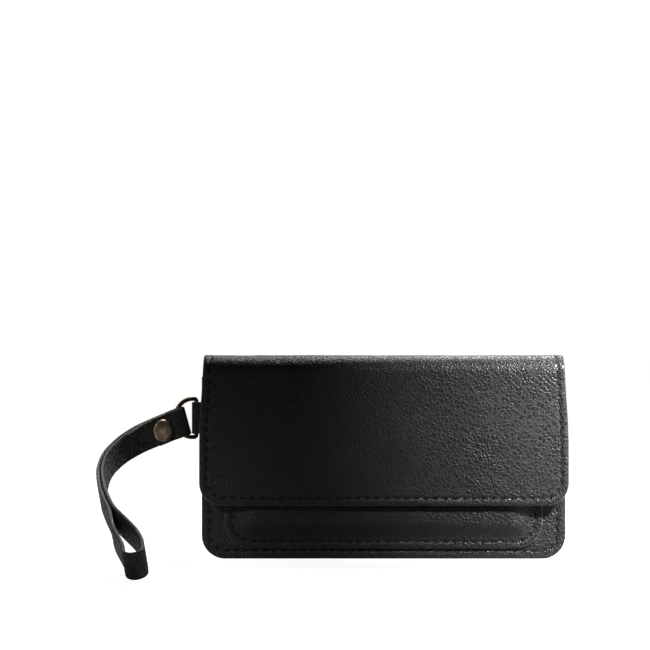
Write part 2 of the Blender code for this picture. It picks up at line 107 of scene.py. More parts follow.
table_mesh = bpy.data.meshes.new("table")
half = TABLE_SIZE / 2
table_corners = [(-half, -half, 0), (half, -half, 0), (half, half, 0), (-half, half, 0)]
table_mesh.from_pydata(table_corners, [], [(0, 1, 2, 3)])
table = bpy.data.objects.new("table", table_mesh)
table.location.z = -0.0002  # just under the wallet, so that the two faces never share a plane
bpy.context.scene.collection.objects.link(table)
table_paint = bpy.data.materials.new("table_paint")
table_paint.use_nodes = True
shader = table_paint.node_tree.nodes["Principled BSDF"]
shader.inputs["Base Color"].default_value = (0.40, 0.39, 0.38, 1)
shader.inputs["Roughness"].default_value = 0.7
shader.inputs["Specular IOR Level"].default_value = 0.2
shader.inputs["Emission Color"].default_value = (1.0, 0.995, 0.985, 1)
lit = table_paint.node_tree.nodes.new("ShaderNodeMapRange")
lit.inputs["To Min"].default_value = 0.08
lit.inputs["To Max"].default_value = 0.92
seen = table_paint.node_tree.nodes.new("ShaderNodeLightPath")
table_paint.node_tree.links.new(seen.outputs["Is Camera Ray"], lit.inputs["Value"])
table_paint.node_tree.links.new(lit.outputs[0], shader.inputs["Emission Strength"])
table_mesh.materials.append(table_paint)

# ---------------------------------------------------------------------------------------------
# The back and the flap: one piece of pebbled black cowhide, 1.8 mm thick, cut with round corners
# and folded over the top. It is sewn to the gusset round the back and hemmed round the flap. The
# two lengths below meet in the middle of the top, and each bends at its own fold.
BODY_HALF = 0.094
BODY_CORNER = 0.012
HIDE = 0.0018
FLAP_HALF = 0.095
FLAP_CORNER = 0.0115
FLAP_BOTTOM = 0.028
FOLD_HEIGHT = 0.096
FOLD_RADIUS = 0.0081
FRONT_FOLD_Y = -0.0140
FLAP_LEAN = radians(2.6)
NARROWING = 0.0021  # the flap draws in this much on each side where it folds
SEAM_INSET = 0.0038
STITCH_PITCH = 0.005
THREAD = 0.00052
STITCH_DENT = 0.0005  # how deep a pulled stitch draws the leather in, and how wide
DENT_WIDTH = 0.0007
EDGE_SWELL = 0.00016  # the leather swells a little between the stitches and the edge
CUT_BAND = 0.0004  # the cut edge shows this far in

BACK_RUN = FOLD_HEIGHT
BEND_RUN = FOLD_RADIUS * pi / 2
TOP_RUN = -FRONT_FOLD_Y - FOLD_RADIUS
FRONT_BEND_RUN = FOLD_RADIUS * (pi / 2 - FLAP_LEAN)
FACE_TOP = FOLD_HEIGHT + FOLD_RADIUS * sin(FLAP_LEAN)
FACE_RUN = (FACE_TOP - FLAP_BOTTOM) / cos(FLAP_LEAN)
WHOLE_RUN = BACK_RUN + BEND_RUN + TOP_RUN + FRONT_BEND_RUN + FACE_RUN
MEETING = BACK_RUN + BEND_RUN + TOP_RUN / 2


def blank_material(name):
    made = bpy.data.materials.new(name)
    made.use_nodes = True
    return made, made.node_tree.nodes, made.node_tree.links, made.node_tree.nodes["Principled BSDF"]


def add_node(nodes, kind, **settings):
    """A node with its settings made: whole words set properties, names with an input set that input."""
    node = nodes.new(kind)
    for key, value in settings.items():
        if hasattr(node, key):
            setattr(node, key, value)
        else:
            node.inputs[key.replace("_", " ")].default_value = value
    return node


def pebbled(name, dark, light, rough, relief, cell=(820, 820, 430)):
    """Tumbled cowhide: long pebbles that turn from upright at the left to slanted at the right, with
    fine pores in them, creases where they meet, a colour that takes unevenly in patches, and painted shade
    that darkens the colour in the creases."""
    made, nodes, links, shader = blank_material(name)
    where = add_node(nodes, "ShaderNodeTexCoord")
    wander = add_node(nodes, "ShaderNodeTexNoise", Scale=95.0, Detail=3.0, Roughness=0.6)
    links.new(where.outputs["Object"], wander.inputs["Vector"])
    push = add_node(nodes, "ShaderNodeVectorMath", operation="MULTIPLY_ADD")
    push.inputs[1].default_value = (0.0016, 0.0016, 0.0016)
    links.new(wander.outputs["Color"], push.inputs[0])
    links.new(where.outputs["Object"], push.inputs[2])
    heights = []
    for turn, size in ((radians(4), cell), (radians(-38), (cell[0] * 0.84, cell[1] * 0.84, cell[2] * 1.1))):
        mapping = add_node(nodes, "ShaderNodeMapping")
        mapping.inputs["Rotation"].default_value = (0, turn, 0)
        stretch = add_node(nodes, "ShaderNodeVectorMath", operation="MULTIPLY")
        stretch.inputs[1].default_value = size
        links.new(push.outputs[0], mapping.inputs["Vector"])
        links.new(mapping.outputs[0], stretch.inputs[0])
        cells = add_node(nodes, "ShaderNodeTexVoronoi", feature="DISTANCE_TO_EDGE", Scale=1.0)
        links.new(stretch.outputs[0], cells.inputs["Vector"])
        dome = add_node(nodes, "ShaderNodeMapRange", interpolation_type="SMOOTHSTEP")
        dome.inputs["From Max"].default_value = 0.25
        links.new(cells.outputs["Distance"], dome.inputs["Value"])
        heights.append(dome)
    apart = add_node(nodes, "ShaderNodeSeparateXYZ")
    side = add_node(nodes, "ShaderNodeMapRange", interpolation_type="SMOOTHSTEP")
    side.inputs["From Min"].default_value = -0.03
    side.inputs["From Max"].default_value = 0.05
    links.new(push.outputs[0], apart.inputs[0])
    links.new(apart.outputs["X"], side.inputs["Value"])
    pebbles = add_node(nodes, "ShaderNodeMix")
    links.new(side.outputs[0], pebbles.inputs[0])
    links.new(heights[0].outputs[0], pebbles.inputs[2])
    links.new(heights[1].outputs[0], pebbles.inputs[3])
    patches = add_node(nodes, "ShaderNodeTexNoise", Scale=34.0, Detail=3.0)
    pores = add_node(nodes, "ShaderNodeTexNoise", Scale=3400.0, Detail=3.0, Roughness=0.65)
    rises = add_node(nodes, "ShaderNodeTexNoise", Scale=210.0, Detail=4.0, Roughness=0.6)
    for texture in (patches, pores, rises):
        links.new(where.outputs["Object"], texture.inputs["Vector"])
    depth = add_node(nodes, "ShaderNodeMapRange")  # the grain is stronger in some patches
    depth.inputs["From Min"].default_value = 0.35
    depth.inputs["From Max"].default_value = 0.65
    depth.inputs["To Min"].default_value = 0.45
    links.new(patches.outputs[0], depth.inputs["Value"])
    grain = add_node(nodes, "ShaderNodeMath", operation="MULTIPLY")
    links.new(pebbles.outputs[0], grain.inputs[0])
    links.new(depth.outputs[0], grain.inputs[1])
    with_rises = add_node(nodes, "ShaderNodeMath", operation="MULTIPLY_ADD")
    with_rises.inputs[1].default_value = 0.9
    links.new(rises.outputs[0], with_rises.inputs[0])
    links.new(grain.outputs[0], with_rises.inputs[2])
    with_pores = add_node(nodes, "ShaderNodeMath", operation="MULTIPLY_ADD")
    with_pores.inputs[1].default_value = 0.16
    links.new(pores.outputs[0], with_pores.inputs[0])
    links.new(with_rises.outputs[0], with_pores.inputs[2])
    bump = add_node(nodes, "ShaderNodeBump", Strength=1.0, Distance=relief)
    links.new(with_pores.outputs[0], bump.inputs["Height"])
    links.new(bump.outputs[0], shader.inputs["Normal"])
    # The base colour follows the uneven patches and also the pebble height, so the creases between pebbles
    # are painted darker: painted shade.
    tone_and_crease_shade = add_node(nodes, "ShaderNodeMix", data_type="RGBA")
    tone_and_crease_shade.inputs[6].default_value = (*dark, 1)
    tone_and_crease_shade.inputs[7].default_value = (*light, 1)
    links.new(with_rises.outputs[0], tone_and_crease_shade.inputs[0])
    links.new(tone_and_crease_shade.outputs[2], shader.inputs["Base Color"])
    gloss = add_node(nodes, "ShaderNodeMapRange")
    gloss.inputs["To Min"].default_value = rough + 0.36
    gloss.inputs["To Max"].default_value = rough - 0.04
    links.new(pebbles.outputs[0], gloss.inputs["Value"])
    links.new(gloss.outputs[0], shader.inputs["Roughness"])
    shader.inputs["Specular IOR Level"].default_value = 0.5
    shader.inputs["Sheen Weight"].default_value = 0.02
    shader.inputs["Sheen Roughness"].default_value = 0.4
    shader.inputs["Sheen Tint"].default_value = (0.2, 0.2, 0.2, 1)
    return made


def fibrous(name, dark, light, scale, relief):
    """A cut edge or a flesh side: matt, with short loose fibres."""
    made, nodes, links, shader = blank_material(name)
    where = add_node(nodes, "ShaderNodeTexCoord")
    fibres = add_node(nodes, "ShaderNodeTexNoise", Scale=scale, Detail=5.0, Roughness=0.7, Distortion=1.2)
    links.new(where.outputs["Object"], fibres.inputs["Vector"])
    shade = add_node(nodes, "ShaderNodeMix", data_type="RGBA")
    shade.inputs[6].default_value = (*dark, 1)
    shade.inputs[7].default_value = (*light, 1)
    links.new(fibres.outputs[0], shade.inputs[0])
    links.new(shade.outputs[2], shader.inputs["Base Color"])
    bump = add_node(nodes, "ShaderNodeBump", Strength=0.8, Distance=relief)
    links.new(fibres.outputs[0], bump.inputs["Height"])
    links.new(bump.outputs[0], shader.inputs["Normal"])
    shader.inputs["Roughness"].default_value = 0.85
    shader.inputs["Sheen Weight"].default_value = 0.15
    return made


hide_face = pebbled("pebbled_black_hide", (0.0022, 0.0022, 0.0023), (0.0048, 0.0047, 0.0047), 0.37, 0.00016)
# The cut edges are pale: partly the raw edge's own colour, partly a painted highlight that makes the edges
# read as lit lines.
pale_edge_and_highlight = fibrous("pale_cut_edge_and_painted_highlight", (0.035, 0.034, 0.033), (0.13, 0.125, 0.12), 2600, 0.0001)
hide_flesh = fibrous("flesh_side", (0.012, 0.011, 0.011), (0.04, 0.037, 0.034), 1500, 0.0001)


def hide_path(run, out):
    """A point (y, z) of the folded hide: run is measured from the lower back edge, out from its middle."""
    if run <= BACK_RUN:
        return out, run
    run -= BACK_RUN
    if run <= BEND_RUN:
        a = run / FOLD_RADIUS
        return -FOLD_RADIUS + (FOLD_RADIUS + out) * cos(a), FOLD_HEIGHT + (FOLD_RADIUS + out) * sin(a)
    run -= BEND_RUN
    if run <= TOP_RUN:
        return -FOLD_RADIUS - run, FOLD_HEIGHT + FOLD_RADIUS + out
    run -= TOP_RUN
    if run <= FRONT_BEND_RUN:
        a = pi / 2 + run / FOLD_RADIUS
        return FRONT_FOLD_Y + (FOLD_RADIUS + out) * cos(a), FOLD_HEIGHT + (FOLD_RADIUS + out) * sin(a)
    run -= FRONT_BEND_RUN
    y = FRONT_FOLD_Y - (FOLD_RADIUS + out) * cos(FLAP_LEAN) - run * sin(FLAP_LEAN)
    return y, FACE_TOP + out * sin(FLAP_LEAN) - run * cos(FLAP_LEAN)


def eased(value, start, end):
    t = min(1.0, max(0.0, (value - start) / (end - start)))
    return t * t * (3 - 2 * t)


EDGE_STEPS = (0.0, 0.0001, 0.00025, 0.0005, 0.0009, 0.0015, 0.0021, 0.0026, 0.0031, 0.0035, 0.0038,
              0.0041, 0.0045, 0.0050, 0.0056, 0.0065, 0.0078, 0.0095)


def leather_sheet(name, place, width, height, corner, thickness, finishes,
                  seam=None, grid=0.0012, open_top=False):
    """A closed sheet whose cut edges are rounded. place(x, up, out) puts a point that lies across, up
    from its lower edge and out from its middle, width(up) is half its width, and seam is the inset of
    a line of stitches that draws the leather in."""
    def inward(x, up):
        across = width(up) - abs(x)
        above = height - up
        if across < corner and up < corner:
            return corner - hypot(corner - across, corner - up)
        return min(across, up) if open_top else min(across, up, above)

    ups = list(EDGE_STEPS)
    top_steps = [] if open_top else [height - d for d in reversed(EDGE_STEPS)]
    run_end = height if open_top else top_steps[0]
    count = ceil((run_end - ups[-1]) / grid)
    ups += [ups[-1] + (run_end - ups[-1]) * k / count for k in range(1, count + 1)]
    ups += top_steps[1:]
    inner_count = ceil(2 * (width(height / 2) - EDGE_STEPS[-1]) / grid)
    fronts, backs, depths = [], [], []
    for up in ups:
        half = width(up)
        if up < corner:
            half += sqrt(max(0.0, corner ** 2 - (corner - up) ** 2)) - corner
        xs = [-half + d for d in EDGE_STEPS]
        span = half - EDGE_STEPS[-1]
        xs += [-span + 2 * span * k / inner_count for k in range(1, inner_count)]
        xs += [half - d for d in reversed(EDGE_STEPS)]
        front, back, depth = [], [], []
        for x in xs:
            d = max(0.0, inward(x, up))
            round_off = min(1.0, d / (thickness * 0.42))
            body = thickness / 2 * sqrt(1 - (1 - round_off) ** 2)
            spot = Vector((x, up, thickness))
            wave = 0.00022 * noise.noise(spot * 38) + 0.00007 * noise.noise(spot * 170)
            wave *= eased(d, 0, 0.004)
            if seam:
                along = up if width(up) - abs(x) < up else x
                pull = 0.55 + 0.45 * cos(2 * pi * along / STITCH_PITCH)
                wave -= STITCH_DENT * pull * exp(-((d - seam) / DENT_WIDTH) ** 2)
                wave += EDGE_SWELL * exp(-((d - seam * 0.45) / 0.0012) ** 2)
            front.append(place(x, up, body + wave))
            back.append(place(x, up, -body))
            depth.append(d)
        fronts.append(front)
        backs.append(back)
        depths.append(depth)
    rows, columns = len(fronts), len(fronts[0])
    points = [p for row in fronts for p in row] + [p for row in backs for p in row]
    start = rows * columns
    faces, kinds = [], []
    for r in range(rows - 1):
        for c in range(columns - 1):
            a, b = r * columns + c, (r + 1) * columns + c
            kind = 1 if max(depths[r][c], depths[r + 1][c + 1]) < CUT_BAND else 0
            faces.append((a, a + 1, b + 1, b))
            kinds.append(kind)
            faces.append((start + b, start + b + 1, start + a + 1, start + a))
            kinds.append(1 if kind else 2)
    if open_top:
        last = (rows - 1) * columns
        for c in range(columns - 1):
            faces.append((last + c, last + c + 1, start + last + c + 1, start + last + c))
            kinds.append(1)
    work = bmesh.new()
    made_points = [work.verts.new(p) for p in points]
    for corners, kind in zip(faces, kinds):
        face = work.faces.new([made_points[k] for k in corners])
        face.material_index = kind
        face.smooth = True
    bmesh.ops.remove_doubles(work, verts=work.verts, dist=0.000004)
    bmesh.ops.recalc_face_normals(work, faces=work.faces)
    mesh = bpy.data.meshes.new(name)
    work.to_mesh(mesh)
    work.free()
    for finish in finishes:
        mesh.materials.append(finish)
    made = bpy.data.objects.new(name, mesh)
    bpy.context.scene.collection.objects.link(made)
    return made


thread, nodes, links, shader = blank_material("waxed_black_thread")
where = add_node(nodes, "ShaderNodeTexCoord")
twist = add_node(nodes, "ShaderNodeTexWave", Scale=900.0, Distortion=1.5, bands_direction="DIAGONAL")
links.new(where.outputs["Object"], twist.inputs["Vector"])
tone = add_node(nodes, "ShaderNodeMix", data_type="RGBA")
tone.inputs[6].default_value = (0.0012, 0.0012, 0.0012, 1)
tone.inputs[7].default_value = (0.005, 0.005, 0.005, 1)
links.new(twist.outputs[1], tone.inputs[0])
links.new(tone.outputs[2], shader.inputs["Base Color"])
ply = add_node(nodes, "ShaderNodeBump", Strength=0.6, Distance=0.0001)
links.new(twist.outputs[1], ply.inputs["Height"])
links.new(ply.outputs[0], shader.inputs["Normal"])
shader.inputs["Roughness"].default_value = 0.72
shader.inputs["Specular IOR Level"].default_value = 0.25


def seam_route(width, height, corner, inset, start=0.0):
    """(x, up) every stitch pitch: down the left side, round the corners along the bottom and up."""
    dense = []
    bend = corner - inset
    steps = 200
    for k in range(steps):
        up = height - (height - corner) * k / steps
        dense.append((-width(up) + inset, up))
    flat = width(0)
    for k in range(24):
        a = pi / 2 * k / 24
        dense.append((-flat + corner - bend * cos(a), corner - bend * sin(a)))
    for k in range(steps):
        dense.append((-flat + corner + 2 * (flat - corner) * k / steps, inset))
    for k in range(24):
        a = pi / 2 * k / 24
        dense.append((flat - corner + bend * sin(a), corner - bend * cos(a)))
    for k in range(steps + 1):
        up = corner + (height - corner) * k / steps
        dense.append((width(up) - inset, up))
    route, walked, due = [], 0.0, start
    for (xa, ua), (xb, ub) in zip(dense, dense[1:]):
        length = hypot(xb - xa, ub - ua)
        while due <= walked + length:
            t = (due - walked) / length if length else 0
            route.append((xa + (xb - xa) * t, ua + (ub - ua) * t))
            due += STITCH_PITCH
        walked += length
    return route


def stitches(name, place, route, lift):
    """Short slanted lengths of thread that rise out of one hole and go down the next."""
    work = bmesh.new()
    for (xa, ua), (xb, ub) in zip(route, route[1:]):
        run = hypot(xb - xa, ub - ua)
        if run > STITCH_PITCH * 1.4:
            continue
        nx, nu = -(ub - ua) / run, (xb - xa) / run
        path = []
        for k in range(9):
            t = 0.18 + 0.64 * k / 8
            slant = (t - 0.5) * 0.0011
            rise = lift - 0.00022 + 0.0001 * sin(pi * k / 8) - 0.0005 * (abs(k - 4) / 4) ** 4
            path.append(Vector(place(xa + (xb - xa) * t + nx * slant, ua + (ub - ua) * t + nu * slant, rise)))
        rings = []
        outward = Vector(place(xa, ua, 0.001)) - Vector(place(xa, ua, 0.0))
        for k, point in enumerate(path):
            along = (path[min(k + 1, 8)] - path[max(k - 1, 0)]).normalized()
            side = along.cross(outward).normalized()
            up = side.cross(along)
            thick = THREAD * (0.72 + 0.28 * sin(pi * k / 8))
            ring = []
            for s in range(8):
                a = 2 * pi * s / 8
                ring.append(work.verts.new(point + (side * cos(a) + up * sin(a)) * thick))
            rings.append(ring)
        for here, there in zip(rings, rings[1:]):
            for s in range(8):
                work.faces.new((here[s], here[(s + 1) % 8], there[(s + 1) % 8], there[s]))
        work.faces.new(rings[0])
        work.faces.new(rings[-1])
    for face in work.faces:
        face.smooth = True
    bmesh.ops.recalc_face_normals(work, faces=work.faces)
    mesh = bpy.data.meshes.new(name)
    work.to_mesh(mesh)
    work.free()
    mesh.materials.append(thread)
    made = bpy.data.objects.new(name, mesh)
    bpy.context.scene.collection.objects.link(made)
    return made


def back_place(x, up, out):
    y, z = hide_path(up, out)
    return x, y, z


def flap_place(x, up, out):
    y, z = hide_path(WHOLE_RUN - up, out)
    return x, y, z


def back_width(up):
    return BODY_HALF - 0.0011 * eased(up, 0.088, BACK_RUN + BEND_RUN)


def flap_width(up):
    return FLAP_HALF - NARROWING * eased(up, FACE_RUN * 0.45, FACE_RUN + FRONT_BEND_RUN)


FLAP_RUN = WHOLE_RUN - MEETING
hide_finishes = (hide_face, pale_edge_and_highlight, hide_flesh)
BACK_FOLD = ((0, 0, FOLD_HEIGHT), (0, -FOLD_RADIUS, FOLD_HEIGHT + FOLD_RADIUS))
FRONT_FOLD = ((0, FRONT_FOLD_Y, FOLD_HEIGHT + FOLD_RADIUS), (0, FRONT_FOLD_Y - FOLD_RADIUS, FOLD_HEIGHT))

back_hide = leather_sheet("back_hide", back_place, back_width, MEETING, BODY_CORNER, HIDE, hide_finishes,
                          seam=SEAM_INSET, open_top=True)
flap_hide = leather_sheet("flap_hide", flap_place, flap_width, FLAP_RUN, FLAP_CORNER, HIDE, hide_finishes,
                          seam=SEAM_INSET, open_top=True)
back_seam = stitches("back_stitches", back_place,
                     seam_route(back_width, MEETING, BODY_CORNER, SEAM_INSET, 0.0025), HIDE / 2)
flap_seam = stitches("flap_stitches", flap_place,
                     seam_route(flap_width, FLAP_RUN, FLAP_CORNER, SEAM_INSET, 0.0025), HIDE / 2)
for piece in (back_hide, back_seam):
    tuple(BACK_FOLD[0])
    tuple(BACK_FOLD[1])
    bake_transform(piece)
for piece in (flap_hide, flap_seam):
    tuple(FRONT_FOLD[0])
    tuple(FRONT_FOLD[1])
    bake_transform(piece)
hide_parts("back_panel")
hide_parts("flap_face", "flap_top")

# ---------------------------------------------------------------------------------------------
# The linings: a fine black twill, bonded to the flesh side of the hide and caught in its seams.
# The flap's lining stops 2 mm short of the cut edge and follows both folds.
TWILL = 0.0006
LINING_GAP = 0.0003
HEM = 0.002

twill, nodes, links, shader = blank_material("black_twill")
where = add_node(nodes, "ShaderNodeTexCoord")
lie = add_node(nodes, "ShaderNodeMapping")
lie.inputs["Rotation"].default_value = (0, radians(45), 0)
ribs = add_node(nodes, "ShaderNodeTexWave", Scale=420.0, Distortion=0.6)
fuzz = add_node(nodes, "ShaderNodeTexNoise", Scale=900.0, Detail=3.0)
links.new(where.outputs["Object"], lie.inputs["Vector"])
links.new(lie.outputs[0], ribs.inputs["Vector"])
links.new(where.outputs["Object"], fuzz.inputs["Vector"])
weave = add_node(nodes, "ShaderNodeMath", operation="MULTIPLY")
links.new(ribs.outputs[1], weave.inputs[0])
links.new(fuzz.outputs[0], weave.inputs[1])
cloth_shade = add_node(nodes, "ShaderNodeMix", data_type="RGBA")
cloth_shade.inputs[6].default_value = (0.012, 0.012, 0.014, 1)
cloth_shade.inputs[7].default_value = (0.06, 0.06, 0.066, 1)
links.new(weave.outputs[0], cloth_shade.inputs[0])
links.new(cloth_shade.outputs[2], shader.inputs["Base Color"])
rib_bump = add_node(nodes, "ShaderNodeBump", Strength=0.6, Distance=0.00015)
links.new(weave.outputs[0], rib_bump.inputs["Height"])
links.new(rib_bump.outputs[0], shader.inputs["Normal"])
shader.inputs["Roughness"].default_value = 0.8
shader.inputs["Sheen Weight"].default_value = 0.3
twill_finishes = (twill, twill, twill)
LINING_OUT = -(HIDE / 2 + LINING_GAP + TWILL / 2)


def flap_lining_place(x, up, out):
    return flap_place(x, up + HEM, LINING_OUT - out)


def flap_lining_width(up):
    return flap_width(up + HEM) - HEM


TOP_LINING_START = BACK_RUN + 0.004


def top_lining_place(x, up, out):
    return back_place(x, up + TOP_LINING_START, LINING_OUT - out)


def top_lining_width(up):
    return back_width(up + TOP_LINING_START) - HEM


flap_lining = leather_sheet("flap_lining", flap_lining_place, flap_lining_width, FLAP_RUN - HEM,
                            FLAP_CORNER - HEM, TWILL, twill_finishes, grid=0.002, open_top=True)
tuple(FRONT_FOLD[0])
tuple(FRONT_FOLD[1])
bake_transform(flap_lining)
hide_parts("flap_face_lining")
top_lining = leather_sheet("top_lining", top_lining_place, top_lining_width, MEETING - TOP_LINING_START,
                           0.0001, TWILL, twill_finishes, grid=0.002, open_top=True)
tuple(BACK_FOLD[0])
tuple(BACK_FOLD[1])
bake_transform(top_lining)
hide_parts("flap_top_lining")


def upright(middle_y, bottom):
    """Where an upright sheet puts its points, with its good side to the front."""
    def place(x, up, out):
        return x, middle_y - out, bottom + up
    return place


def flat_piece(name, bottom, corner, thickness, finishes, node, seam=None, grid=0.0025):
    """An upright sheet in the place of its CAD node, riding with the pouch."""
    low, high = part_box(node)
    half_width = (high[0] - low[0]) / 2
    place = upright((low[1] + high[1]) / 2, bottom)
    made = leather_sheet(name, place, lambda up: half_width, high[2] - bottom, corner, thickness, finishes,
                         seam=seam, grid=grid)
    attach(made, "pouch")
    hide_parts(node)
    return made, place, half_width, high[2] - bottom


for node, name in (("back_lining", "lining_back"), ("front_lining", "lining_front")):
    flat_piece(name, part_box(node)[0][2], 0.0034, TWILL, twill_finishes, node)

# ---------------------------------------------------------------------------------------------
# The card pockets and the divider: thin black split leather, matt on both sides. The three
# pockets are stepped against the back, and the divider parts the room in front of them in two.
split_hide = fibrous("black_split", (0.014, 0.013, 0.0125), (0.042, 0.039, 0.036), 1100, 0.00012)
split_finishes = (split_hide, pale_edge_and_highlight, split_hide)
for node in ("card_tier_top", "card_tier_middle", "card_tier_bottom", "divider"):
    flat_piece("sewn_" + node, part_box(node)[0][2], 0.003, 0.0008, split_finishes, node,
               seam=0.0028)

# ---------------------------------------------------------------------------------------------
# The gusset: a strip of thin black hide round both sides and the bottom. Its edges turn outward
# and are sewn between the panels, and its middle creases inward like a bellows.
GUSSET = 0.0012
gusset_low, gusset_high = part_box("gusset")
GUSSET_FRONT, GUSSET_BACK = gusset_low[1], gusset_high[1]
GUSSET_TOP = gusset_high[2]
FLANGE, CREASE = 0.0070, 0.0096


def softened(points, times):
    """Corners cut back again and again until they are round."""
    for _ in range(times):
        cut = [points[0]]
        for (xa, ya), (xb, yb) in zip(points, points[1:]):
            cut.append((xa * 0.75 + xb * 0.25, ya * 0.75 + yb * 0.25))
            cut.append((xa * 0.25 + xb * 0.75, ya * 0.25 + yb * 0.75))
        points = cut + [points[-1]]
    return points


middle_y = (GUSSET_FRONT + GUSSET_BACK) / 2
section = softened([
    (0.0006, GUSSET_FRONT + GUSSET / 2), (FLANGE, GUSSET_FRONT + GUSSET / 2), (CREASE + GUSSET / 2, middle_y),
    (FLANGE, GUSSET_BACK - GUSSET / 2), (0.0006, GUSSET_BACK - GUSSET / 2),
], 3)
outline = []
for side in (1, -1):
    loop = []
    for k, (inset, y) in enumerate(section):
        before, after = section[max(k - 1, 0)], section[min(k + 1, len(section) - 1)]
        run = hypot(after[0] - before[0], after[1] - before[1])
        shift = side * GUSSET / 2
        loop.append((inset - (after[1] - before[1]) / run * shift, y + (after[0] - before[0]) / run * shift))
    outline += loop if side == 1 else list(reversed(loop))
route = []
for k in range(33):
    z = GUSSET_TOP + (BODY_CORNER - GUSSET_TOP) * k / 32
    route.append((Vector((-BODY_HALF, 0, z)), Vector((1, 0, 0))))
for k in range(1, 16):
    a = pi / 2 * k / 16
    inward = Vector((cos(a), 0, sin(a)))
    route.append((Vector((-BODY_HALF + BODY_CORNER, 0, BODY_CORNER)) - inward * BODY_CORNER, inward))
for k in range(65):
    x = (BODY_HALF - BODY_CORNER) * (k / 32 - 1)
    route.append((Vector((x, 0, 0)), Vector((0, 0, 1))))
for k in range(15, 0, -1):
    a = pi / 2 * k / 16
    inward = Vector((-cos(a), 0, sin(a)))
    route.append((Vector((BODY_HALF - BODY_CORNER, 0, BODY_CORNER)) - inward * BODY_CORNER, inward))
for k in range(33):
    z = BODY_CORNER + (GUSSET_TOP - BODY_CORNER) * k / 32
    route.append((Vector((BODY_HALF, 0, z)), Vector((-1, 0, 0))))


def swept(name, loops, finish, closed=False, rim=None):
    """A skin over a row of loops, with both ends closed unless the row joins up. rim is the finish of
    a strip's two cut edges, which lie where its loops start, turn back and end."""
    work = bmesh.new()
    rings = [[work.verts.new(p) for p in loop] for loop in loops]
    pairs = list(zip(rings, rings[1:] + ([rings[0]] if closed else [])))
    turning = len(rings[0]) // 2
    for here, there in pairs:
        for s in range(len(here)):
            n = (s + 1) % len(here)
            face = work.faces.new((here[s], here[n], there[n], there[s]))
            if rim and min(s, len(here) - s - 1, abs(s - turning + 1)) < 2:
                face.material_index = 1
    if not closed:
        work.faces.new(rings[0])
        work.faces.new(rings[-1])
    for face in work.faces:
        face.smooth = True
    bmesh.ops.recalc_face_normals(work, faces=work.faces)
    mesh = bpy.data.meshes.new(name)
    work.to_mesh(mesh)
    work.free()
    mesh.set_sharp_from_angle(angle=radians(50))
    mesh.materials.append(finish)
    if rim:
        mesh.materials.append(rim)
    made = bpy.data.objects.new(name, mesh)
    bpy.context.scene.collection.objects.link(made)
    return made


gusset_loops = []
for place, inward in route:
    gusset_loops.append([place + inward * o + Vector((0, y, 0)) for o, y in outline])
bellows = swept("bellows", gusset_loops, hide_face)
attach(bellows, "pouch")
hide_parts("gusset")

# ---------------------------------------------------------------------------------------------
# The front panel: the same hide as the flap but thinner, with a raw cut edge and its own line of
# stitches that goes through the gusset's front edge.
PANEL = 0.0016
PANEL_SEAM = 0.0043
front, front_place, front_half, front_height = flat_piece(
    "front_hide", 0.0, BODY_CORNER, PANEL, hide_finishes, "front_panel",
    seam=PANEL_SEAM, grid=0.0014)
front_seam = stitches(
    "front_stitches", front_place,
    seam_route(lambda up: front_half, front_height - 0.006, BODY_CORNER, PANEL_SEAM, 0.001),
    PANEL / 2)
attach(front_seam, "pouch")

# ---------------------------------------------------------------------------------------------
# The slip pocket: a round-cornered piece of the hide, moulded to stand off the panel, sewn down
# round its sides and bottom and open at the top, under the flap.
POCKET_HALF = 0.082
POCKET_BOTTOM = 0.0056
POCKET_TOP = 0.076
POCKET_CORNER = 0.0135
POCKET_SEAM = 0.0036
POCKET_BULGE = 0.0032
pocket_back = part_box("front_panel")[0][1] - 0.0003


def pocket_place(x, up, out):
    across = eased(POCKET_HALF - abs(x), 0.005, 0.017)
    rise = eased(up, 0.005, 0.013)
    fall = 1 - 0.94 * eased(POCKET_BOTTOM + up, 0.022, 0.042)
    return x, pocket_back - PANEL / 2 - POCKET_BULGE * across * rise * fall - out, POCKET_BOTTOM + up


pocket = leather_sheet("slip_pocket", pocket_place, lambda up: POCKET_HALF, POCKET_TOP - POCKET_BOTTOM,
                       POCKET_CORNER, PANEL, hide_finishes, seam=POCKET_SEAM)
pocket_seam = stitches(
    "pocket_stitches", pocket_place,
    seam_route(lambda up: POCKET_HALF, POCKET_TOP - POCKET_BOTTOM - 0.004, POCKET_CORNER, POCKET_SEAM, 0.002),
    PANEL / 2)
for piece in (pocket, pocket_seam):
    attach(piece, "pouch")
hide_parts("front_pocket")

# ---------------------------------------------------------------------------------------------
# The magnetic snap: a nickelled socket on the slip pocket and a stud on the flap's lining, both
# turned, with softened rims.
SNAP_HEIGHT = 0.050
SNAP_RADIUS = 0.007
STUD = 0.0008
SNAP_GAP = 0.0003

nickel, nodes, links, shader = blank_material("brushed_nickel")
where = add_node(nodes, "ShaderNodeTexCoord")
rub = add_node(nodes, "ShaderNodeTexNoise", Scale=700.0, Detail=4.0)
links.new(where.outputs["Object"], rub.inputs["Vector"])
rub_range = add_node(nodes, "ShaderNodeMapRange")
rub_range.inputs["To Min"].default_value = 0.22
rub_range.inputs["To Max"].default_value = 0.42
links.new(rub.outputs[0], rub_range.inputs["Value"])
links.new(rub_range.outputs[0], shader.inputs["Roughness"])
tarnish = add_node(nodes, "ShaderNodeMix", data_type="RGBA")
tarnish.inputs[6].default_value = (0.42, 0.41, 0.40, 1)
tarnish.inputs[7].default_value = (0.66, 0.66, 0.67, 1)
links.new(rub.outputs[0], tarnish.inputs[0])
links.new(tarnish.outputs[2], shader.inputs["Base Color"])
shader.inputs["Metallic"].default_value = 1.0


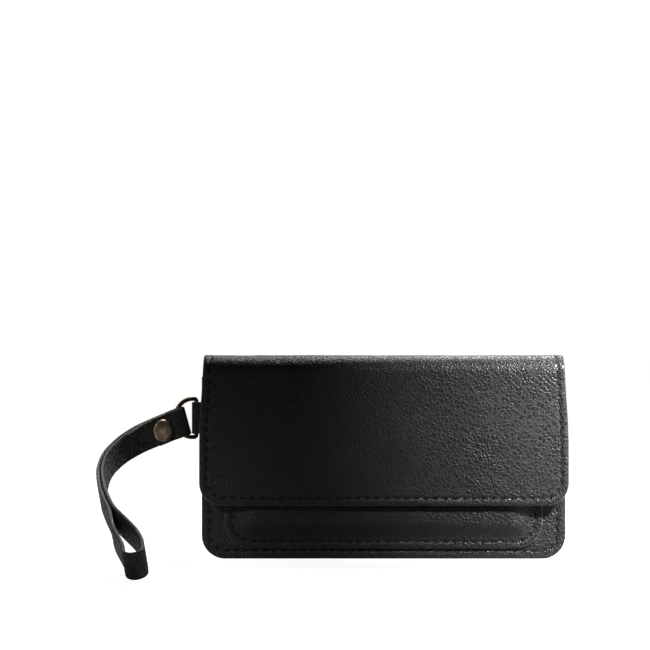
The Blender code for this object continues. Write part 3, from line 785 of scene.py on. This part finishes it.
def lathed(name, profile, matrix, finish, segments=64):
    """A turned piece. The profile's (radius, height) points start and end on the axis, or join up."""
    joins_up = profile[0][0] > 0
    work = bmesh.new()
    rings = []
    for radius, height in profile:
        if radius == 0:
            rings.append([work.verts.new((0, 0, height))])
        else:
            angles = [2 * pi * k / segments for k in range(segments)]
            rings.append([work.verts.new((radius * cos(a), radius * sin(a), height)) for a in angles])
    pairs = list(zip(rings, rings[1:] + ([rings[0]] if joins_up else [])))
    for lower, upper in pairs:
        for k in range(segments):
            n = k + 1
            corners = [lower[k % len(lower)], lower[n % len(lower)],
                       upper[n % len(upper)], upper[k % len(upper)]]
            face = work.faces.new(list(dict.fromkeys(corners)))
            face.smooth = True
    work.transform(matrix)
    bmesh.ops.recalc_face_normals(work, faces=work.faces)
    mesh = bpy.data.meshes.new(name)
    work.to_mesh(mesh)
    work.free()
    mesh.set_sharp_from_angle(angle=radians(42))
    mesh.materials.append(finish)
    made = bpy.data.objects.new(name, mesh)
    bpy.context.scene.collection.objects.link(made)
    return made


socket_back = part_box("snap_socket")[1][1]
socket_profile = [(0.0026, 0), (SNAP_RADIUS, 0), (SNAP_RADIUS, 0.0007), (0.0066, 0.00115), (0.0060, 0.0012),
                  (0.0038, 0.0010), (0.0030, 0.0012), (0.0026, 0.0010)]
socket = lathed("snap_socket_half", socket_profile,
                Matrix.Translation((0, socket_back, SNAP_HEIGHT)) @ Matrix.Rotation(pi / 2, 4, "X"), nickel)
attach(socket, "pouch")
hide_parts("snap_socket")
lining_face = FRONT_FOLD_Y - (FOLD_RADIUS - HIDE / 2 - LINING_GAP - TWILL)
stud_back = lining_face - (FOLD_HEIGHT - SNAP_HEIGHT) * sin(FLAP_LEAN) / cos(FLAP_LEAN) + SNAP_GAP + STUD
stud_profile = [(0, -0.0013), (0.0015, -0.0013), (0.0019, -0.0010), (0.0019, 0), (0.0064, 0),
                (SNAP_RADIUS, 0.0003), (SNAP_RADIUS, STUD), (0, STUD)]
stud_turn = Matrix.Translation((0, stud_back, SNAP_HEIGHT)) @ Matrix.Rotation(pi / 2 - FLAP_LEAN, 4, "X")
stud = lathed("snap_stud_half", stud_profile, stud_turn, nickel)
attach(stud, "flap_front")
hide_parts("snap_stud")

# ---------------------------------------------------------------------------------------------
# The D-ring: cast wire, 2.2 mm thick, antiqued dark brown and rubbed back to brass in scattered
# patches. Its straight bar sits in the leather tab.
WIRE = 0.0011
RING_HALF = 0.0099
RING_LEG = 0.0024
BAR_CORNER = 0.0014
BAR = Vector((-0.0970, -0.0107, 0.0725))
RING_SWIVEL = radians(30)


def antiqued(name, dark, bright, rough, specks):
    """Brass under a brown patina, with dark pits and bright rubbed patches."""
    made, nodes, links, shader = blank_material(name)
    where = add_node(nodes, "ShaderNodeTexCoord")
    patina = add_node(nodes, "ShaderNodeTexNoise", Scale=330.0, Detail=5.0, Roughness=0.65)
    pits = add_node(nodes, "ShaderNodeTexVoronoi", Scale=specks)
    links.new(where.outputs["Object"], patina.inputs["Vector"])
    links.new(where.outputs["Object"], pits.inputs["Vector"])
    rubbed = add_node(nodes, "ShaderNodeMapRange")
    rubbed.inputs["From Min"].default_value = 0.38
    rubbed.inputs["From Max"].default_value = 0.62
    links.new(patina.outputs[0], rubbed.inputs["Value"])
    clean = add_node(nodes, "ShaderNodeMapRange")
    clean.inputs["From Min"].default_value = 0.10
    clean.inputs["From Max"].default_value = 0.26
    clean.inputs["To Min"].default_value = 0.45
    links.new(pits.outputs["Distance"], clean.inputs["Value"])
    both = add_node(nodes, "ShaderNodeMath", operation="MULTIPLY")
    links.new(rubbed.outputs[0], both.inputs[0])
    links.new(clean.outputs[0], both.inputs[1])
    tone = add_node(nodes, "ShaderNodeMix", data_type="RGBA")
    tone.inputs[6].default_value = (*dark, 1)
    tone.inputs[7].default_value = (*bright, 1)
    links.new(both.outputs[0], tone.inputs[0])
    links.new(tone.outputs[2], shader.inputs["Base Color"])
    polish = add_node(nodes, "ShaderNodeMapRange")
    polish.inputs["To Min"].default_value = rough + 0.22
    polish.inputs["To Max"].default_value = rough
    links.new(both.outputs[0], polish.inputs["Value"])
    links.new(polish.outputs[0], shader.inputs["Roughness"])
    bump = add_node(nodes, "ShaderNodeBump", Strength=0.35, Distance=0.00012)
    links.new(both.outputs[0], bump.inputs["Height"])
    links.new(bump.outputs[0], shader.inputs["Normal"])
    shader.inputs["Metallic"].default_value = 1.0
    return made


ring_brass = antiqued("dark_antique_brass", (0.055, 0.036, 0.022), (0.33, 0.21, 0.10), 0.30, 900)
wire_route = []
for k in range(49):
    a = -pi / 2 + pi * k / 48
    wire_route.append((RING_LEG + RING_HALF * cos(a), RING_HALF * sin(a)))
for k in range(9):
    a = pi / 2 + pi / 2 * k / 8
    wire_route.append((BAR_CORNER * (1 + cos(a)), RING_HALF - BAR_CORNER + BAR_CORNER * sin(a)))
for k in range(1, 10):
    wire_route.append((0.0, (RING_HALF - BAR_CORNER) * (1 - k / 5)))
for k in range(9):
    a = pi + pi / 2 * k / 8
    wire_route.append((BAR_CORNER * (1 + cos(a)), -RING_HALF + BAR_CORNER + BAR_CORNER * sin(a)))
ring_turn = Matrix.Translation(BAR) @ Matrix.Rotation(pi + RING_SWIVEL, 4, "Z")
ring_loops = []
for k, (x, z) in enumerate(wire_route):
    before, after = wire_route[k - 1], wire_route[(k + 1) % len(wire_route)]
    along = Vector((after[0] - before[0], 0, after[1] - before[1])).normalized()
    out = Vector((along.z, 0, -along.x))
    loop = []
    for s in range(20):
        a = 2 * pi * s / 20
        loop.append(ring_turn @ (Vector((x, WIRE * sin(a), z)) + out * WIRE * cos(a)))
    ring_loops.append(loop)
ring = swept("cast_ring", ring_loops, ring_brass, closed=True)
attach(ring, "ring")
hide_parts("d_ring")

# ---------------------------------------------------------------------------------------------
# The ring's tab: a short strip of thin hide, folded round the ring's bar, its two ends laid
# together and caught in the side seam.
TAB = 0.0011
TAB_HEIGHT = 0.0165
TAB_END = -0.0885
tab_loop = WIRE + 0.0002 + TAB / 2
tab_front = BAR.y - tab_loop
tab_back = tab_front + TAB + 0.0002
tab_line = [(TAB_END + (BAR.x - TAB_END) * k / 8, tab_front) for k in range(8)]
for k in range(25):
    a = -pi / 2 - pi * k / 24
    tab_line.append((BAR.x + tab_loop * cos(a), BAR.y + tab_loop * sin(a)))
tab_line += [(BAR.x + 0.0012, BAR.y + tab_loop * 0.86), (BAR.x + 0.0030, tab_back + 0.0010),
             (BAR.x + 0.0042, tab_back + 0.0002), (BAR.x + 0.0052, tab_back), (TAB_END, tab_back)]


def strip_section(centre, across, facing, low, high, thickness, steps=12):
    """The outline across a strip of leather, its cut edges rounded."""
    near = (0.0, 0.08, 0.2, 0.38, 0.62)
    edge = thickness * 0.5
    shares = [low + edge * n for n in near]
    shares += [low + edge + (high - low - 2 * edge) * k / steps for k in range(steps + 1)]
    shares += [high - edge * n for n in reversed(near)]
    top, under = [], []
    for w in shares:
        t = min(1.0, max(0.0, min(w - low, high - w) / edge))
        body = thickness / 2 * sqrt(1 - (1 - t) ** 2)
        top.append(centre + across * w + facing * max(body, thickness * 0.04))
        under.append(centre + across * w - facing * max(body, thickness * 0.04))
    return top + list(reversed(under))


tab_loops = []
for k, (x, y) in enumerate(tab_line):
    before, after = tab_line[max(k - 1, 0)], tab_line[min(k + 1, len(tab_line) - 1)]
    run = hypot(after[0] - before[0], after[1] - before[1])
    facing = Vector(((after[1] - before[1]) / run, -(after[0] - before[0]) / run, 0))
    tab_loops.append(strip_section(Vector((x, y, BAR.z)), Vector((0, 0, 1)), facing,
                                   -TAB_HEIGHT / 2, TAB_HEIGHT / 2, TAB))
tab = swept("tab", tab_loops, hide_face, rim=pale_edge_and_highlight)
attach(tab, "pouch")
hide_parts("ring_tab")

# ---------------------------------------------------------------------------------------------
# The wrist strap: one strip of the hide, 15 mm wide, passed through the ring, turned back on
# itself and riveted to its own other end. It hangs as a loop whose bight is just clear of the table.
STRAP_WIDTH = 0.0148
STRAP = 0.0014  # where it is skived to fold through the ring
LOOP = 0.0020  # and its full thickness round the free loop
END_FLAP = 0.0012
TUCKED_END = 0.0010
LAYER_GAP = 0.00015
STRAP_DROOP = radians(17)
STRAP_TILT = radians(25)
STRAP_CANT = 0.12
OVER_RING = 0.0022
INSIDE_RING = 0.00595
SANDWICH_FROM = 0.0078
TUCKED_FROM = 0.0074
TWIST_END = 0.045
LONG_TIP, SHORT_TIP = 0.0355, 0.0167
BIGHT_RADIUS = 0.0046
MIDDLE_LINE = (
    (0.0, 0.0), (-0.0072, 0.0046), (-0.0150, 0.0102), (-0.0229, 0.01645), (-0.03015, 0.0253),
    (-0.0361, 0.0387), (-0.03785, 0.0537), (-0.03715, 0.0636), (-0.0352, 0.0759),
    (-0.03145, 0.0904), (-0.0273, 0.1029), (-0.0233, 0.1146), (-0.0194, 0.1248), (-0.0171, 0.1320),
    (-0.0164, 0.1356), (-0.0158, 0.1406),
)
HALF_GAPS = (
    (0.050, 0.00085), (0.090, 0.00115), (0.110, 0.00118), (0.116, 0.0015), (0.122, 0.0024),
    (0.128, 0.0034), (0.134, 0.0042), (0.141, 0.0047), (0.149, 0.0048), (0.1571, BIGHT_RADIUS),
)
UPWARD = Vector((0, 0, 1))
ring_out = Vector((-cos(RING_SWIVEL), -sin(RING_SWIVEL), 0))


def evenly(knots, spacing):
    """Evenly spaced points on a smooth curve through the knots."""
    dense = []
    padded = [knots[0] * 2 - knots[1], *knots, knots[-1] * 2 - knots[-2]]
    for a, b, c, d in zip(padded, padded[1:], padded[2:], padded[3:]):
        for k in range(24):
            t = k / 24
            dense.append(0.5 * (2 * b + (c - a) * t + (2 * a - 5 * b + 4 * c - d) * t * t
                                + (3 * b - a - 3 * c + d) * t ** 3))
    dense.append(knots[-1])
    lengths = [0.0]
    for a, b in zip(dense, dense[1:]):
        lengths.append(lengths[-1] + (b - a).length)
    count = round(lengths[-1] / spacing)
    points, k = [], 0
    for n in range(count + 1):
        want = lengths[-1] * n / count
        while k < len(lengths) - 2 and lengths[k + 1] < want:
            k += 1
        points.append(dense[k].lerp(dense[k + 1], (want - lengths[k]) / (lengths[k + 1] - lengths[k])))
    return points, lengths[-1] / count


loop_width = Vector((STRAP_CANT, sin(STRAP_TILT), -cos(STRAP_TILT))).normalized()
sideways = (Vector((1, 0, 0)) - loop_width * loop_width.x).normalized()
forward = loop_width.cross(sideways)
ring_width = -UPWARD * cos(STRAP_DROOP) - ring_out * sin(STRAP_DROOP)
leaving = ring_out * cos(STRAP_DROOP) - UPWARD * sin(STRAP_DROOP)
strap_start = BAR + ring_out * RING_LEG + leaving * INSIDE_RING
spots, step = evenly([strap_start + sideways * u + forward * v for u, v in MIDDLE_LINE], 0.0011)
frames = []
for k, spot in enumerate(spots):
    along = (spots[min(k + 1, len(spots) - 1)] - spots[max(k - 1, 0)]).normalized()
    if k * step < 0.006:
        along = leaving
    across = ring_width.lerp(loop_width, eased(k * step, 0.006, TWIST_END))
    across = (across - along * across.dot(along)).normalized()
    frames.append((k * step, spot, along, across, along.cross(across)))


def layers(at):
    """How far the outer strand, the inner strand and the end flap lie from the strap's middle line."""
    squeeze = eased(at, 0.0050, SANDWICH_FROM)
    part = eased(at, 0.018, 0.034)
    pinned = -(TUCKED_END / 2 + LAYER_GAP + STRAP / 2)
    free = STRAP / 2 + LAYER_GAP
    outer = -OVER_RING + (pinned + OVER_RING) * squeeze + (-free - pinned) * part
    inner = free * part
    flap = OVER_RING + (TUCKED_END / 2 + LAYER_GAP + END_FLAP / 2 - OVER_RING) * squeeze
    flap += (free + STRAP / 2 - TUCKED_END / 2) * part
    if at > HALF_GAPS[0][0]:
        inner = HALF_GAPS[-1][1]
        for (start, low), (end, high) in zip(HALF_GAPS, HALF_GAPS[1:]):
            if start <= at <= end:
                inner = low + (high - low) * (at - start) / (end - start)
        outer = -inner
    return outer, inner, flap


def loop_thickness(at):
    return STRAP + (LOOP - STRAP) * eased(at, 0.050, 0.090)


strap_loops = []
side = STRAP_WIDTH / 2
for at, spot, along, across, facing in reversed([f for f in frames if 0.001 < f[0] < LONG_TIP]):
    cut = min(1.0, max((LONG_TIP - at) / (LONG_TIP - SHORT_TIP), 0.04))
    thick = END_FLAP + (STRAP - END_FLAP) * (1 - eased(at, 0, 0.006))
    strap_loops.append(strip_section(spot + facing * layers(at)[2], across, facing, -side,
                                     -side + STRAP_WIDTH * cut, thick))
at, spot, along, across, facing = frames[0]
for k in range(17):
    turn = facing * cos(pi * k / 16) - along * sin(pi * k / 16)
    strap_loops.append(strip_section(spot + turn * OVER_RING, across, turn, -side, side, STRAP))
for at, spot, along, across, facing in frames[1:]:
    strap_loops.append(strip_section(spot + facing * layers(at)[0], across, -facing, -side, side,
                                     loop_thickness(at)))
at, spot, along, across, facing = frames[-1]
for k in range(1, 24):
    turn = -facing * cos(pi * k / 24) + along * sin(pi * k / 24)
    strap_loops.append(strip_section(spot + turn * BIGHT_RADIUS, across, turn, -side, side, LOOP))
for at, spot, along, across, facing in reversed([f for f in frames if f[0] > TUCKED_FROM]):
    thick = loop_thickness(at) + (TUCKED_END - STRAP) * (1 - eased(at, 0.018, 0.034))
    strap_loops.append(strip_section(spot + facing * layers(at)[1], across, facing, -side, side, thick))
# The strap is the same black hide as the body, but its colour is set lighter and browner: a painted sheen
# that stands in for the light it catches.
strap_hide_painted_sheen = pebbled("strap_hide_painted_lighter", (0.004, 0.0036, 0.0032), (0.016, 0.0135, 0.0115), 0.44, 0.00034,
                     cell=(640, 640, 560))
strap = swept("wrist_loop", strap_loops, strap_hide_painted_sheen, rim=pale_edge_and_highlight)
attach(strap, "strap")
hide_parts("wrist_strap")

# ---------------------------------------------------------------------------------------------
# The rivet: a domed cap pressed on a post through all three layers of the strap, with a flatter
# dome behind. Both are antiqued brass, pitted dark and rubbed bright in scattered patches.
RIVET_AT = 0.0135
RIVET_RADIUS = 0.0057
RIVET_DOME = 0.0024
POST_RADIUS = 0.0014
RIVET_GAP = 0.0003
RIVET_RIM = 0.0005  # the straight rim under each dome
FOOT_DOME = 0.0013
rivet_brass = antiqued("rubbed_antique_brass", (0.20, 0.155, 0.105), (0.56, 0.45, 0.31), 0.33, 700)
at, spot, along, across, facing = min(frames, key=lambda f: abs(f[0] - RIVET_AT))
rivet_turn = Matrix.Translation(spot) @ facing.to_track_quat("Z", "Y").to_matrix().to_4x4()
cap_under = TUCKED_END / 2 + LAYER_GAP + END_FLAP + RIVET_GAP
foot_over = -(TUCKED_END / 2 + LAYER_GAP + STRAP + RIVET_GAP)
seat = cap_under + RIVET_DOME * 0.6
cap_profile = [(0, seat), (POST_RADIUS + RIVET_GAP, seat), (POST_RADIUS + RIVET_GAP, cap_under),
               (RIVET_RADIUS * 0.95, cap_under), (RIVET_RADIUS, cap_under + 0.0002),
               (RIVET_RADIUS, cap_under + RIVET_RIM)]
for k in range(1, 16):
    a = pi / 2 * k / 16
    rise = (RIVET_DOME - RIVET_RIM) * sin(a)
    cap_profile.append((RIVET_RADIUS * cos(a), cap_under + RIVET_RIM + rise))
cap_profile.append((0, cap_under + RIVET_DOME))
cap = lathed("rivet_crown", cap_profile, rivet_turn, rivet_brass)
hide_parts("rivet_cap")
foot_profile = [(0, seat - RIVET_GAP), (POST_RADIUS, seat - RIVET_GAP), (POST_RADIUS, foot_over),
                (RIVET_RADIUS * 0.96, foot_over), (RIVET_RADIUS, foot_over - 0.0002)]
for k in range(12):
    a = pi / 2 * k / 12
    foot_profile.append((RIVET_RADIUS * cos(a), foot_over - RIVET_RIM - FOOT_DOME * sin(a)))
foot_profile.append((0, foot_over - RIVET_RIM - FOOT_DOME))
foot = lathed("rivet_foot", foot_profile, rivet_turn, rivet_brass)
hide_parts("rivet_post")
for piece in (cap, foot):
    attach(piece, "strap")
